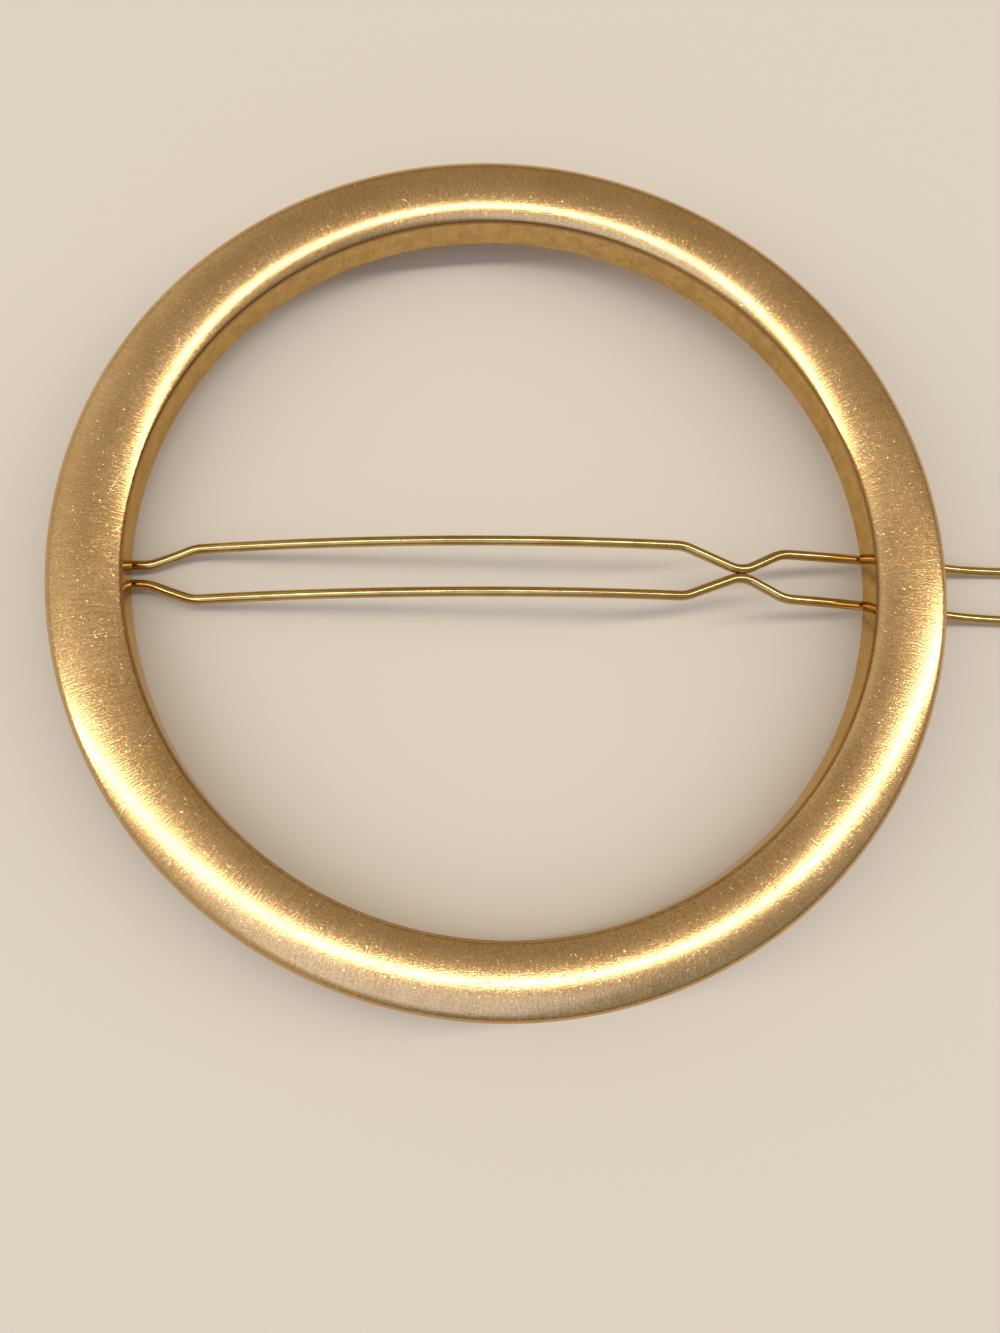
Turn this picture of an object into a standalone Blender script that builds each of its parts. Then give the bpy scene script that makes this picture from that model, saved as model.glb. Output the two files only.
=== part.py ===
"""Round hair clip: a hollow domed ring whose back carries a folding double-wire closure.

Lengths are in metres, +Z is up.  The clip lies on its back, as on a dressing table: X runs along
the wire from the hinge to the finger loop, Y runs across it, and Z runs from the closure, which
touches the table, up to the dome of the ring.
"""
import math

import bmesh
import bpy
from mathutils import Vector

# Ring: a domed cover with a flat inner wall and a flat outer wall, closed by a plate at the back.
RING_OUTER_RADIUS = 0.0350
BAND_WIDTH = 0.0057
INNER_WALL_HEIGHT = 0.0030
OUTER_WALL_HEIGHT = 0.0029
CROWN_HEIGHT = 0.0040
CROWN_SHARE = 0.54
SHOULDER_START_SHARE = 0.12
COVER_SHEET = 0.00060
BACK_PLATE_SHEET = 0.00060
SOLDER_GAP = 0.00004
RING_STEPS = 96
SHOULDER_STEPS = 8

# Closure: everything on the back is set out from one line, a little off the ring's middle.
CLOSURE_OFFSET = -0.0008
PIVOT_DROP = 0.0013

# Wire: one length of spring wire, bent double.
WIRE_DIAMETER = 0.0008
WIRE_SIDE_RESOLUTION = 2
HINGE_HALF_GAUGE = 0.0008
BODY_HALF_GAUGE = 0.0021
EYE_HALF_GAUGE = 0.0019
FINGER_HALF_GAUGE = 0.0022
PINCH_CLEARANCE = 0.00006
SPLAY_START_INSET = 0.0011
SPLAY_LENGTH = 0.0035
PINCH_INSET = 0.0104
PINCH_BODY_LENGTH = 0.0048
PINCH_EYE_LENGTH = 0.0035
FINGER_REACH = 0.0120
FOOT_OVERHANG = 0.00035
FOOT_BEND_RADIUS = 0.0006
SPLAY_BEND_RADIUS = 0.0020
PINCH_BEND_RADIUS = 0.0016
ARCH_RISE = 0.0031
ARCH_RAMP_LENGTH = 0.0030
CLOSED_CLEARANCE = 0.00020
FINGER_BEND_OVERRUN = 0.0030
FINGER_BEND_LENGTH = 0.0035
FINGER_SLOPE_SHARE = 0.10
WIRE_POINT_PITCH = 0.0032
WIRE_BEND_STEP_DEGREES = 15

# Hinge bracket: a folded strip with two ears that hold the wire's feet.
BRACKET_SHEET = 0.00050
BRACKET_END_INSET = 0.00095
BRACKET_FOLD_RADIUS = 0.00045
BRACKET_FOLD_STEPS = 5
EAR_SIDE_CLEARANCE = 0.00020
EAR_TIP_RADIUS = 0.0010
EAR_TIP_STEPS = 14
PIVOT_RUNNING_CLEARANCE = 0.00006
PIVOT_HOLE_SIDES = 24

# Catch stud: a turned stud riveted through the back plate, with a domed head behind the wire.
STUD_NECK_RADIUS = 0.00090
STUD_FLANGE_RADIUS = 0.00135
STUD_FLANGE_THICKNESS = 0.00035
STUD_HEAD_CLEARANCE = 0.00006
STUD_HEAD_HEIGHT = 0.00100
STUD_HEAD_EDGE = 0.00022
STUD_TENON_RADIUS = 0.00060
STUD_TENON_CLEARANCE = 0.00004
STUD_RIVET_RADIUS = 0.00100
STUD_RIVET_HEIGHT = 0.00030
STUD_STEPS = 32
STUD_HEAD_STEPS = 6

# Modelling allowances.
MERGE_DISTANCE = 0.000001
CUT_OVERRUN = 0.0005

# Places along the closure, measured from the ring's centre.
RING_INNER_RADIUS = RING_OUTER_RADIUS - BAND_WIDTH
BAND_MIDDLE = RING_OUTER_RADIUS - BAND_WIDTH / 2
BRACKET_LENGTH = BAND_WIDTH - 2 * BRACKET_END_INSET
WIRE_RADIUS = WIRE_DIAMETER / 2
PIVOT_X = -BAND_MIDDLE
STUD_X = BAND_MIDDLE
SPLAY_START_X = -RING_INNER_RADIUS + SPLAY_START_INSET
SPLAY_END_X = SPLAY_START_X + SPLAY_LENGTH
PINCH_X = RING_INNER_RADIUS - PINCH_INSET
PINCH_START_X = PINCH_X - PINCH_BODY_LENGTH
EYE_START_X = PINCH_X + PINCH_EYE_LENGTH
FINGER_TIP_X = RING_OUTER_RADIUS + FINGER_REACH
FINGER_BEND_CENTRE_X = FINGER_TIP_X - WIRE_RADIUS - FINGER_HALF_GAUGE
FINGER_FLAT_X = RING_OUTER_RADIUS + FINGER_BEND_OVERRUN
PINCH_HALF_GAUGE = WIRE_RADIUS + PINCH_CLEARANCE
PINCH_TURN = (math.atan2(BODY_HALF_GAUGE - PINCH_HALF_GAUGE, PINCH_BODY_LENGTH)
              + math.atan2(EYE_HALF_GAUGE - PINCH_HALF_GAUGE, PINCH_EYE_LENGTH))
PINCH_CORNER_HALF_GAUGE = PINCH_HALF_GAUGE - PINCH_BEND_RADIUS * (1 / math.cos(PINCH_TURN / 2) - 1)
EAR_INNER_FACE = HINGE_HALF_GAUGE + WIRE_RADIUS + EAR_SIDE_CLEARANCE
EAR_OUTER_FACE = EAR_INNER_FACE + BRACKET_SHEET
FOOT_END = EAR_OUTER_FACE + FOOT_OVERHANG

# The arch of the wire in side view, from the end of the hinge's level stretch to the ring's edge.
ARCH_START_X = SPLAY_END_X
ARCH_END_X = RING_INNER_RADIUS
ARCH_END_HEIGHT = -(WIRE_RADIUS + CLOSED_CLEARANCE)
ARCH_SPAN = ARCH_END_X - ARCH_START_X
ARCH_START_SLOPE = (ARCH_END_HEIGHT + PIVOT_DROP + 4 * ARCH_RISE) / (ARCH_SPAN + ARCH_RAMP_LENGTH / 2)
ARCH_START_HEIGHT = -PIVOT_DROP + ARCH_START_SLOPE * ARCH_RAMP_LENGTH / 2


def arch_height(x):
    """Height of the arched stretch over the ring's back, a parabola between its two ends."""
    along = (x - ARCH_START_X) / ARCH_SPAN
    chord = ARCH_START_HEIGHT + (ARCH_END_HEIGHT - ARCH_START_HEIGHT) * along
    return chord + 4 * ARCH_RISE * along * (1 - along)


def arch_slope(x):
    along = (x - ARCH_START_X) / ARCH_SPAN
    return (ARCH_END_HEIGHT - ARCH_START_HEIGHT + 4 * ARCH_RISE * (1 - 2 * along)) / ARCH_SPAN


def wire_height(x):
    """Height of the wire's centre over the ring's back, at a place along the closure."""
    ramp_start = ARCH_START_X - ARCH_RAMP_LENGTH
    if x <= ramp_start:
        return -PIVOT_DROP
    if x < ARCH_START_X:
        return -PIVOT_DROP + ARCH_START_SLOPE * (x - ramp_start) ** 2 / (2 * ARCH_RAMP_LENGTH)
    if x <= FINGER_FLAT_X:
        return arch_height(x)
    run = x - FINGER_FLAT_X
    bend = min(run, FINGER_BEND_LENGTH)
    steep = arch_slope(FINGER_FLAT_X)
    flattening = -FINGER_SLOPE_SHARE - steep
    height = arch_height(FINGER_FLAT_X) + steep * bend + flattening * bend ** 2 / (2 * FINGER_BEND_LENGTH)
    return height - FINGER_SLOPE_SHARE * (run - bend)


# The clip's own frame: the middle of its length over the lowest point of the finger loop.
RING_CENTRE_X = (RING_OUTER_RADIUS - FINGER_TIP_X) / 2
RING_BACK_Z = WIRE_RADIUS - wire_height(FINGER_TIP_X - WIRE_RADIUS)
PIVOT = Vector((RING_CENTRE_X + PIVOT_X, CLOSURE_OFFSET, RING_BACK_Z - PIVOT_DROP))


def clear_scene():
    for thing in list(bpy.data.objects):
        bpy.data.objects.remove(thing, do_unlink=True)


def make_collection(name):
    collection = bpy.data.collections.new(name)
    bpy.context.scene.collection.children.link(collection)
    return collection


def make_metal(name, colour, roughness):
    material = bpy.data.materials.new(name)
    material.use_nodes = True
    shader = material.node_tree.nodes["Principled BSDF"]
    shader.inputs["Base Color"].default_value = (*colour, 1.0)
    shader.inputs["Metallic"].default_value = 1.0
    shader.inputs["Roughness"].default_value = roughness
    material.diffuse_color = (*colour, 1.0)
    return material


def add_object(name, data, collection, material=None, location=(0, 0, 0)):
    thing = bpy.data.objects.new(name, data)
    thing.location = location
    collection.objects.link(thing)
    if material:
        data.materials.append(material)
    return thing


def mark_as_cutter(thing):
    thing.hide_render = True
    thing.display_type = "WIRE"


def mesh_from_line(name, points, closed):
    """A chain of edges in the XZ plane, ready for a Screw modifier."""
    shape = bmesh.new()
    corners = [shape.verts.new((x, 0, z)) for x, z in points]
    for first, second in zip(corners, corners[1:]):
        shape.edges.new((first, second))
    if closed:
        shape.edges.new((corners[-1], corners[0]))
    mesh = bpy.data.meshes.new(name)
    shape.to_mesh(mesh)
    shape.free()
    return mesh


def turn(thing, steps):
    """Turn a profile about the object's own Z axis."""
    screw = thing.modifiers.new("Turn", "SCREW")
    screw.axis = "Z"
    screw.angle = 2 * math.pi
    screw.steps = steps
    screw.render_steps = steps
    screw.use_merge_vertices = True
    screw.merge_threshold = MERGE_DISTANCE
    screw.use_smooth_shade = True
    return screw


def apply_modifiers(thing):
    """Put the evaluated mesh in place of the modifiers, so that its edges can be marked sharp."""
    bpy.context.view_layer.update()
    evaluated = thing.evaluated_get(bpy.context.evaluated_depsgraph_get())
    mesh = bpy.data.meshes.new_from_object(evaluated)
    materials = list(thing.data.materials)
    if thing.type == "CURVE":
        name = thing.name
        matrix = thing.matrix_world.copy()
        collection = thing.users_collection[0]
        bpy.data.objects.remove(thing, do_unlink=True)
        thing = bpy.data.objects.new(name, mesh)
        thing.matrix_world = matrix
        collection.objects.link(thing)
    else:
        thing.modifiers.clear()
        thing.data = mesh
    mesh.materials.clear()
    for material in materials:
        mesh.materials.append(material)
    return thing


def weld(mesh):
    """Join the loose rims that filled caps leave on a curve's mesh."""
    shape = bmesh.new()
    shape.from_mesh(mesh)
    bmesh.ops.remove_doubles(shape, verts=shape.verts, dist=MERGE_DISTANCE)
    bmesh.ops.recalc_face_normals(shape, faces=shape.faces)
    shape.to_mesh(mesh)
    shape.free()


def smooth_round_faces(thing, sharp_degrees=35):
    thing.data.shade_smooth()
    thing.data.set_sharp_from_angle(angle=math.radians(sharp_degrees))


def cut(thing, cutter, operation):
    boolean = thing.modifiers.new(operation.title(), "BOOLEAN")
    boolean.operation = operation
    boolean.solver = "EXACT"
    boolean.object = cutter


def extruded_outline(name, points, thickness, collection, material=None):
    """A flat outline in the object's own XY plane, given its thickness about that plane."""
    curve = bpy.data.curves.new(name, "CURVE")
    curve.dimensions = "2D"
    curve.fill_mode = "BOTH"
    curve.extrude = thickness / 2
    spline = curve.splines.new("POLY")
    spline.points.add(len(points) - 1)
    for point, (x, y) in zip(spline.points, points):
        point.co = (x, y, 0, 1)
    spline.use_cyclic_u = True
    return add_object(name, curve, collection, material)


def arc(centre, radius, start_degrees, end_degrees, steps):
    """Points on a circle's arc, both ends included."""
    points = []
    for step in range(steps + 1):
        angle = math.radians(start_degrees + (end_degrees - start_degrees) * step / steps)
        points.append((centre[0] + radius * math.cos(angle), centre[1] + radius * math.sin(angle)))
    return points


def dome_section():
    """The cover's outer skin, from the foot of the inner wall over the dome to the outer foot."""
    crown_x = RING_INNER_RADIUS + BAND_WIDTH * CROWN_SHARE
    first_angle = SHOULDER_START_SHARE * math.pi / 2
    inner_reach = (crown_x - RING_INNER_RADIUS) / math.cos(first_angle)
    inner_lift = (CROWN_HEIGHT - INNER_WALL_HEIGHT) / (1 - math.sin(first_angle))
    outer_reach = RING_OUTER_RADIUS - crown_x
    outer_lift = CROWN_HEIGHT - OUTER_WALL_HEIGHT
    points = [(RING_INNER_RADIUS, 0)]
    for step in range(SHOULDER_STEPS + 1):
        angle = first_angle + (math.pi / 2 - first_angle) * step / SHOULDER_STEPS
        height = CROWN_HEIGHT - inner_lift * (1 - math.sin(angle))
        points.append((crown_x - inner_reach * math.cos(angle), height))
    for step in range(1, SHOULDER_STEPS + 1):
        angle = math.pi / 2 * (1 - step / SHOULDER_STEPS)
        height = OUTER_WALL_HEIGHT + outer_lift * math.sin(angle)
        points.append((crown_x + outer_reach * math.cos(angle), height))
    points.append((RING_OUTER_RADIUS, 0))
    return points


def make_ring_cover(parts, material):
    """The pressed cover: its outer skin turned about the ring's axis, with the sheet inside it."""
    mesh = mesh_from_line("ring_cover", dome_section(), closed=False)
    cover = add_object("ring_cover", mesh, parts, material, (RING_CENTRE_X, 0, RING_BACK_Z))
    turn(cover, RING_STEPS)
    sheet = cover.modifiers.new("Sheet", "SOLIDIFY")
    sheet.thickness = COVER_SHEET
    sheet.offset = -1
    sheet.use_even_offset = True
    cover = apply_modifiers(cover)
    smooth_round_faces(cover)


def make_back_plate(parts, cutters, material):
    """The flat plate between the cover's two walls, with the rivet hole for the catch stud."""
    inner = RING_INNER_RADIUS + COVER_SHEET + SOLDER_GAP
    outer = RING_OUTER_RADIUS - COVER_SHEET - SOLDER_GAP
    section = [(inner, 0), (inner, BACK_PLATE_SHEET), (outer, BACK_PLATE_SHEET), (outer, 0)]
    mesh = mesh_from_line("ring_back_plate", section, closed=True)
    plate = add_object("ring_back_plate", mesh, parts, material, (RING_CENTRE_X, 0, RING_BACK_Z))
    turn(plate, RING_STEPS)
    drill = add_drill("stud_hole", STUD_TENON_RADIUS + STUD_TENON_CLEARANCE, cutters)
    drill.location = (RING_CENTRE_X + STUD_X, CLOSURE_OFFSET, RING_BACK_Z + BACK_PLATE_SHEET / 2)
    cut(plate, drill, "DIFFERENCE")
    plate = apply_modifiers(plate)
    smooth_round_faces(plate)


def add_drill(name, radius, cutters, length=BACK_PLATE_SHEET + 2 * CUT_OVERRUN):
    shape = bmesh.new()
    bmesh.ops.create_cone(shape, cap_ends=True, segments=PIVOT_HOLE_SIDES, radius1=radius, radius2=radius,
                          depth=length)
    mesh = bpy.data.meshes.new(name)
    shape.to_mesh(mesh)
    shape.free()
    drill = add_object(name, mesh, cutters)
    mark_as_cutter(drill)
    return drill


def bracket_fold():
    """The strip's U section across the closure: base on top, an ear at each side, rounded folds."""
    outer = BRACKET_FOLD_RADIUS + BRACKET_SHEET / 2
    inner = max(outer - BRACKET_SHEET, 0)
    ear_foot = -(PIVOT_DROP + EAR_TIP_RADIUS + CUT_OVERRUN)
    top = -SOLDER_GAP
    right = arc((EAR_OUTER_FACE - outer, top - outer), outer, 90, 0, BRACKET_FOLD_STEPS)
    right += [(EAR_OUTER_FACE, ear_foot), (EAR_INNER_FACE, ear_foot)]
    right += arc((EAR_INNER_FACE - inner, top - BRACKET_SHEET - inner), inner, 0, 90, BRACKET_FOLD_STEPS)
    left = [(-y, z) for y, z in reversed(right)]
    return right + left


def bracket_side():
    """The strip seen along the hinge pin: a long base, and ears that narrow to a round tip."""
    half = BRACKET_LENGTH / 2
    fold_inside = max(BRACKET_FOLD_RADIUS - BRACKET_SHEET / 2, 0)
    base_foot = -(SOLDER_GAP + BRACKET_SHEET + fold_inside)
    tip = arc((0, -PIVOT_DROP), EAR_TIP_RADIUS, 0, -180, EAR_TIP_STEPS)
    points = [(-half, CUT_OVERRUN), (half, CUT_OVERRUN), (half, base_foot), (EAR_TIP_RADIUS, base_foot)]
    points += tip
    points += [(-EAR_TIP_RADIUS, base_foot), (-half, base_foot)]
    return points


def make_hinge_bracket(parts, cutters, material):
    """The folded strip, trimmed to its side outline and drilled for the wire's feet."""
    place = (RING_CENTRE_X + PIVOT_X, CLOSURE_OFFSET, RING_BACK_Z)
    strip_length = BRACKET_LENGTH + 2 * CUT_OVERRUN
    bracket = extruded_outline("hinge_bracket", bracket_fold(), strip_length, parts, material)
    bracket.rotation_euler = (math.pi / 2, 0, math.pi / 2)
    bracket.location = place
    bracket = apply_modifiers(bracket)
    weld(bracket.data)
    side = extruded_outline("bracket_side", bracket_side(), 2 * (EAR_OUTER_FACE + CUT_OVERRUN), cutters)
    side.rotation_euler = (math.pi / 2, 0, 0)
    side.location = place
    side = apply_modifiers(side)
    weld(side.data)
    mark_as_cutter(side)
    cut(bracket, side, "INTERSECT")
    hole_radius = WIRE_RADIUS + PIVOT_RUNNING_CLEARANCE
    drill = add_drill("pivot_hole", hole_radius, cutters, 2 * (EAR_OUTER_FACE + CUT_OVERRUN))
    drill.rotation_euler = (math.pi / 2, 0, 0)
    drill.location = PIVOT
    cut(bracket, drill, "DIFFERENCE")
    bracket = apply_modifiers(bracket)
    smooth_round_faces(bracket)


def stud_section():
    """Half of the stud, from the foot of its domed head up to the rivet inside the ring."""
    head_radius = EYE_HALF_GAUGE - WIRE_RADIUS - STUD_HEAD_CLEARANCE
    wire_foot = wire_height(STUD_X) - WIRE_RADIUS
    head_top = wire_foot - STUD_HEAD_CLEARANCE
    head_foot = head_top - STUD_HEAD_HEIGHT
    flange_top = -SOLDER_GAP
    flange_foot = flange_top - STUD_FLANGE_THICKNESS
    rivet_foot = BACK_PLATE_SHEET + SOLDER_GAP
    rivet_top = rivet_foot + STUD_RIVET_HEIGHT
    points = [(0, rivet_top), (STUD_RIVET_RADIUS, rivet_top), (STUD_RIVET_RADIUS, rivet_foot)]
    points += [(STUD_TENON_RADIUS, rivet_foot), (STUD_TENON_RADIUS, flange_top)]
    points += [(STUD_FLANGE_RADIUS, flange_top), (STUD_FLANGE_RADIUS, flange_foot)]
    points += [(STUD_NECK_RADIUS, flange_foot), (STUD_NECK_RADIUS, head_top)]
    points += [(head_radius, head_top), (head_radius, head_top - STUD_HEAD_EDGE)]
    dome_height = head_top - STUD_HEAD_EDGE - head_foot
    for step in range(1, STUD_HEAD_STEPS):
        angle = math.pi / 2 * step / STUD_HEAD_STEPS
        points.append((head_radius * math.cos(angle), head_top - STUD_HEAD_EDGE - dome_height * math.sin(angle)))
    points.append((0, head_foot))
    return points


def make_catch_stud(parts, material):
    """The stud, turned about its own axis under the middle of the band."""
    mesh = mesh_from_line("catch_stud", stud_section(), closed=False)
    place = (RING_CENTRE_X + STUD_X, CLOSURE_OFFSET, RING_BACK_Z)
    stud = add_object("catch_stud", mesh, parts, material, place)
    turn(stud, STUD_STEPS)
    stud = apply_modifiers(stud)
    weld(stud.data)
    smooth_round_faces(stud)


def round_corners(corners):
    """A plan line through corners (x, y, bend radius), with each bend as an arc."""
    points = [Vector(corners[0][:2])]
    for before, corner, after in zip(corners, corners[1:], corners[2:]):
        here = Vector(corner[:2])
        back = (Vector(before[:2]) - here).normalized()
        ahead = (Vector(after[:2]) - here).normalized()
        half_angle = back.angle(ahead) / 2
        radius = corner[2]
        setback = radius / math.tan(half_angle)
        centre = here + (back + ahead).normalized() * radius / math.sin(half_angle)
        start = here + back * setback - centre
        turning = math.pi - 2 * half_angle
        steps = max(2, math.ceil(math.degrees(turning) / WIRE_BEND_STEP_DEGREES))
        side = 1 if back.cross(ahead) < 0 else -1
        for step in range(steps + 1):
            angle = side * turning * step / steps
            offset = Vector((start.x * math.cos(angle) - start.y * math.sin(angle),
                             start.x * math.sin(angle) + start.y * math.cos(angle)))
            points.append(centre + offset)
    points.append(Vector(corners[-1][:2]))
    return points


def fill_straights(points, pitch):
    """Extra points on the long straights, so that the wire can arch along them."""
    filled = [points[0]]
    for first, second in zip(points, points[1:]):
        count = max(1, math.ceil((second - first).length / pitch))
        for step in range(1, count + 1):
            filled.append(first.lerp(second, step / count))
    return filled


def leg_plan():
    """One leg of the wire in plan: foot, hinge, splay, body, pinch, eye and the loop's start."""
    corners = [
        (PIVOT_X, FOOT_END, 0),
        (PIVOT_X, HINGE_HALF_GAUGE, FOOT_BEND_RADIUS),
        (SPLAY_START_X, HINGE_HALF_GAUGE, SPLAY_BEND_RADIUS),
        (SPLAY_END_X, BODY_HALF_GAUGE, SPLAY_BEND_RADIUS),
        (PINCH_START_X, BODY_HALF_GAUGE, SPLAY_BEND_RADIUS),
        (PINCH_X, PINCH_CORNER_HALF_GAUGE, PINCH_BEND_RADIUS),
        (EYE_START_X, EYE_HALF_GAUGE, SPLAY_BEND_RADIUS),
        (FINGER_BEND_CENTRE_X, FINGER_HALF_GAUGE, 0),
    ]
    return fill_straights(round_corners(corners), WIRE_POINT_PITCH)


def wire_line():
    """The wire's centre line, from one foot round the finger loop to the other foot."""
    leg = leg_plan()
    bend_steps = math.ceil(180 / WIRE_BEND_STEP_DEGREES)
    loop = arc((FINGER_BEND_CENTRE_X, 0), FINGER_HALF_GAUGE, 90, -90, bend_steps)[1:-1]
    plan = [(point.x, point.y) for point in leg] + loop + [(point.x, -point.y) for point in reversed(leg)]
    return [Vector((x, y, wire_height(x))) for x, y in plan]


def make_wire_loop(parts, material):
    """The spring wire, swept along its line, with its origin on the hinge's axis."""
    curve = bpy.data.curves.new("wire_loop", "CURVE")
    curve.dimensions = "3D"
    curve.bevel_depth = WIRE_RADIUS
    curve.bevel_resolution = WIRE_SIDE_RESOLUTION
    curve.use_fill_caps = True
    line = wire_line()
    spline = curve.splines.new("POLY")
    spline.points.add(len(line) - 1)
    origin = Vector((PIVOT_X, 0, -PIVOT_DROP))
    for point, place in zip(spline.points, line):
        point.co = (*(place - origin), 1)
    wire = add_object("wire_loop", curve, parts, material, PIVOT)
    wire = apply_modifiers(wire)
    weld(wire.data)
    smooth_round_faces(wire)


def main():
    clear_scene()
    parts = make_collection("round_hair_clip")
    cutters = make_collection("cutters")
    satin = make_metal("satin_gold", (0.64, 0.44, 0.20), 0.38)
    bright = make_metal("bright_gold", (0.66, 0.45, 0.21), 0.18)
    spring = make_metal("spring_gold", (0.66, 0.41, 0.20), 0.20)
    make_ring_cover(parts, satin)
    make_back_plate(parts, cutters, bright)
    make_hinge_bracket(parts, cutters, bright)
    make_catch_stud(parts, bright)
    make_wire_loop(parts, spring)


main()
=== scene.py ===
"""A round gold hair clip: the looks of its domed ring and of the folding wire on its back.

Lengths are in metres.  Every piece of the clip is made about the ring's own axis, with height zero at
the ring's flat back, and then set in place, so that its material can read radius and height.
"""

import math

import bmesh
import bpy
from mathutils import Matrix, Vector


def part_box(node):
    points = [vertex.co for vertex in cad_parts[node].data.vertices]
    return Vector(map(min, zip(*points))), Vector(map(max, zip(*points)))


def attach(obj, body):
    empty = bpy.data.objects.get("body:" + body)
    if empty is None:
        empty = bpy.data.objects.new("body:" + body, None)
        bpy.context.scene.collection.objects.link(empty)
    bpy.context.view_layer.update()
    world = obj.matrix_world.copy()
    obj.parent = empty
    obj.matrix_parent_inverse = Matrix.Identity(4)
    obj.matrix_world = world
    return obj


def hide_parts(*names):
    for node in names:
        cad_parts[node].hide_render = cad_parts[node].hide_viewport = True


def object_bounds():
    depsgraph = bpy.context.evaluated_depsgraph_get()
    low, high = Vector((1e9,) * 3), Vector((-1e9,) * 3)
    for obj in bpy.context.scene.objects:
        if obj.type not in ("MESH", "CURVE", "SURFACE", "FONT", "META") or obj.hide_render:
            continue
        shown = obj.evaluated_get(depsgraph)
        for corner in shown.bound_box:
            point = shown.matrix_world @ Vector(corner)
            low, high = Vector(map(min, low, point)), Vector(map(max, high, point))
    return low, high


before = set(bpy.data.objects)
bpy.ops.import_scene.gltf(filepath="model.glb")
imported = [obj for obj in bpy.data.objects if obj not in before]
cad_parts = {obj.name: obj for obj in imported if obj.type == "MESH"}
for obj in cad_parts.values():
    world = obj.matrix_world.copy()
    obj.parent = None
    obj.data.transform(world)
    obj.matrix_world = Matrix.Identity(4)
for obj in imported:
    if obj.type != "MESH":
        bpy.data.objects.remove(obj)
solids_low, solids_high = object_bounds()

# Ring: what the solids' boxes say, and the sizes of its section.
cover_low, cover_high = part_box("ring_cover")
RING_OUTER_RADIUS = (cover_high.y - cover_low.y) / 2
RING_PLACE = Vector(((cover_low.x + cover_high.x) / 2, 0, cover_low.z))
CROWN_HEIGHT = cover_high.z - cover_low.z
BAND_WIDTH = 0.0057
INNER_WALL_HEIGHT = 0.0030
OUTER_WALL_HEIGHT = 0.0029
CROWN_SHARE = 0.54
SHOULDER_START_SHARE = 0.12
COVER_SHEET = 0.00060
BACK_PLATE_SHEET = 0.00060
SOLDER_GAP = 0.00004
RING_STEPS = 288
SHOULDER_STEPS = 26
INNER_EDGE_RADIUS = 0.00016
HEM_RADIUS = 0.00012
ROUND_STEP_DEGREES = 12
SHARP_EDGE_DEGREES = 40
BEAD_SINK_SHARE = 0.55
BEAD_RIM_SHARE = 0.1
RING_INNER_RADIUS = RING_OUTER_RADIUS - BAND_WIDTH
BAND_MIDDLE = RING_OUTER_RADIUS - BAND_WIDTH / 2

# Closure: the wire, its hinge bracket and its catch stud, as in the solids.
wire_low, wire_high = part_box("wire_loop")
bracket_low, bracket_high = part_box("hinge_bracket")
CLOSURE_OFFSET = (wire_low.y + wire_high.y) / 2
WIRE_DIAMETER = 0.0008
WIRE_RADIUS = WIRE_DIAMETER / 2
PIVOT_DROP = 0.0013
HINGE_HALF_GAUGE = 0.0008
BODY_HALF_GAUGE = 0.0021
EYE_HALF_GAUGE = 0.0019
FINGER_HALF_GAUGE = 0.0022
SPLAY_START_INSET = 0.0011
SPLAY_LENGTH = 0.0035
PINCH_INSET = 0.0104
PINCH_BODY_LENGTH = 0.0048
PINCH_EYE_LENGTH = 0.0035
FOOT_OVERHANG = 0.00035
FOOT_BEND_RADIUS = 0.0006
SPLAY_BEND_RADIUS = 0.0030
PINCH_BEND_RADIUS = 0.0024
ARCH_RISE = 0.0031
ARCH_RAMP_LENGTH = 0.0030
CLOSED_CLEARANCE = 0.00020
FINGER_BEND_OVERRUN = 0.0030
FINGER_BEND_LENGTH = 0.0035
FINGER_SLOPE_SHARE = 0.10
WIRE_POINT_PITCH = 0.0004
WIRE_BEND_STEP_DEGREES = 3
WIRE_SIDES = 28
WIRE_SHARP_DEGREES = 30
FOOT_CHAMFER = 0.00012
BRACKET_SHEET = 0.00050
BRACKET_LENGTH = bracket_high.x - bracket_low.x
BRACKET_FOLD_RADIUS = 0.00045
BRACKET_EDGE_RADIUS = 0.00005
BRACKET_EDGE_STEPS = 2
OUTER_FOLD_STEPS = 12
INNER_FOLD_STEPS = 8
FOLD_RUNOUT = 0.00005
EAR_SIDE_CLEARANCE = 0.00020
EAR_TIP_RADIUS = 0.0010
EAR_TIP_STEPS = 32
PIVOT_RUNNING_CLEARANCE = 0.00006
STUD_NECK_RADIUS = 0.00090
STUD_FLANGE_RADIUS = 0.00135
STUD_FLANGE_THICKNESS = 0.00035
STUD_HEAD_CLEARANCE = 0.00006
STUD_HEAD_HEIGHT = 0.00100
STUD_HEAD_EDGE = 0.00022
STUD_HEAD_STEPS = 16
STUD_TENON_RADIUS = 0.00060
STUD_TENON_CLEARANCE = 0.00004
STUD_RIVET_RADIUS = 0.00100
STUD_RIVET_HEIGHT = 0.00030
STUD_EDGE_RADIUS = 0.00006
STUD_STEPS = 64
HOLE_STEPS = 48
CUT_OVERRUN = 0.0005
MERGE_DISTANCE = 0.000001

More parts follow.
